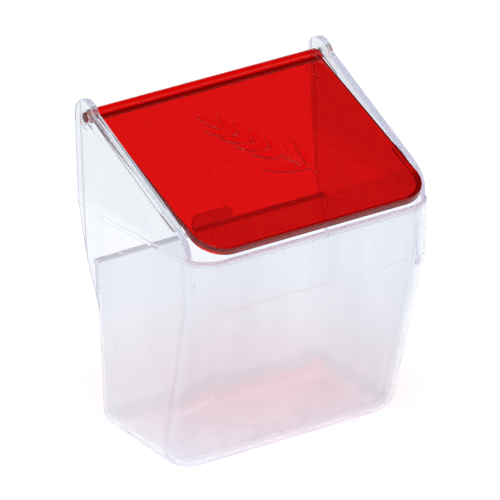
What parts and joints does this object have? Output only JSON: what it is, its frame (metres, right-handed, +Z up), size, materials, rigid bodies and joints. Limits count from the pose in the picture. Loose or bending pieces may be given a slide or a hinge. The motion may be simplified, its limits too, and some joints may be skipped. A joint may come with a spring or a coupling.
{
  "type": "trough feeder",
  "caption": "Clear moulded seed bin with an open upper back and a hinged, sloping red lid, for feeding a cage bird from outside the cage.",
  "frame": {"origin": "the middle of the object's box, on the level of the floor that the bin stands on", "axes": "+Z up, +X across the width along the lid's hinge, -Y towards the front wall and the low edge of the lid"},
  "size_m": [0.09, 0.0704, 0.1117],
  "materials": {
    "clear_plastic": "clear, glossy moulded polystyrene with faint flow marks and a very slight haze",
    "red_plastic": "transparent deep red, glossy moulded polystyrene"
  },
  "bodies": {
    "bin": {"bin": "clear_plastic"},
    "lid": {"lid": "red_plastic"}
  },
  "joints": [
    {"name": "lid_hinge", "type": "hinge", "parent": "bin", "child": "lid", "pos_m": [0, 0.02927, 0.10581], "axis": [-1, 0, 0], "range_deg": [0, 115]}
  ]
}
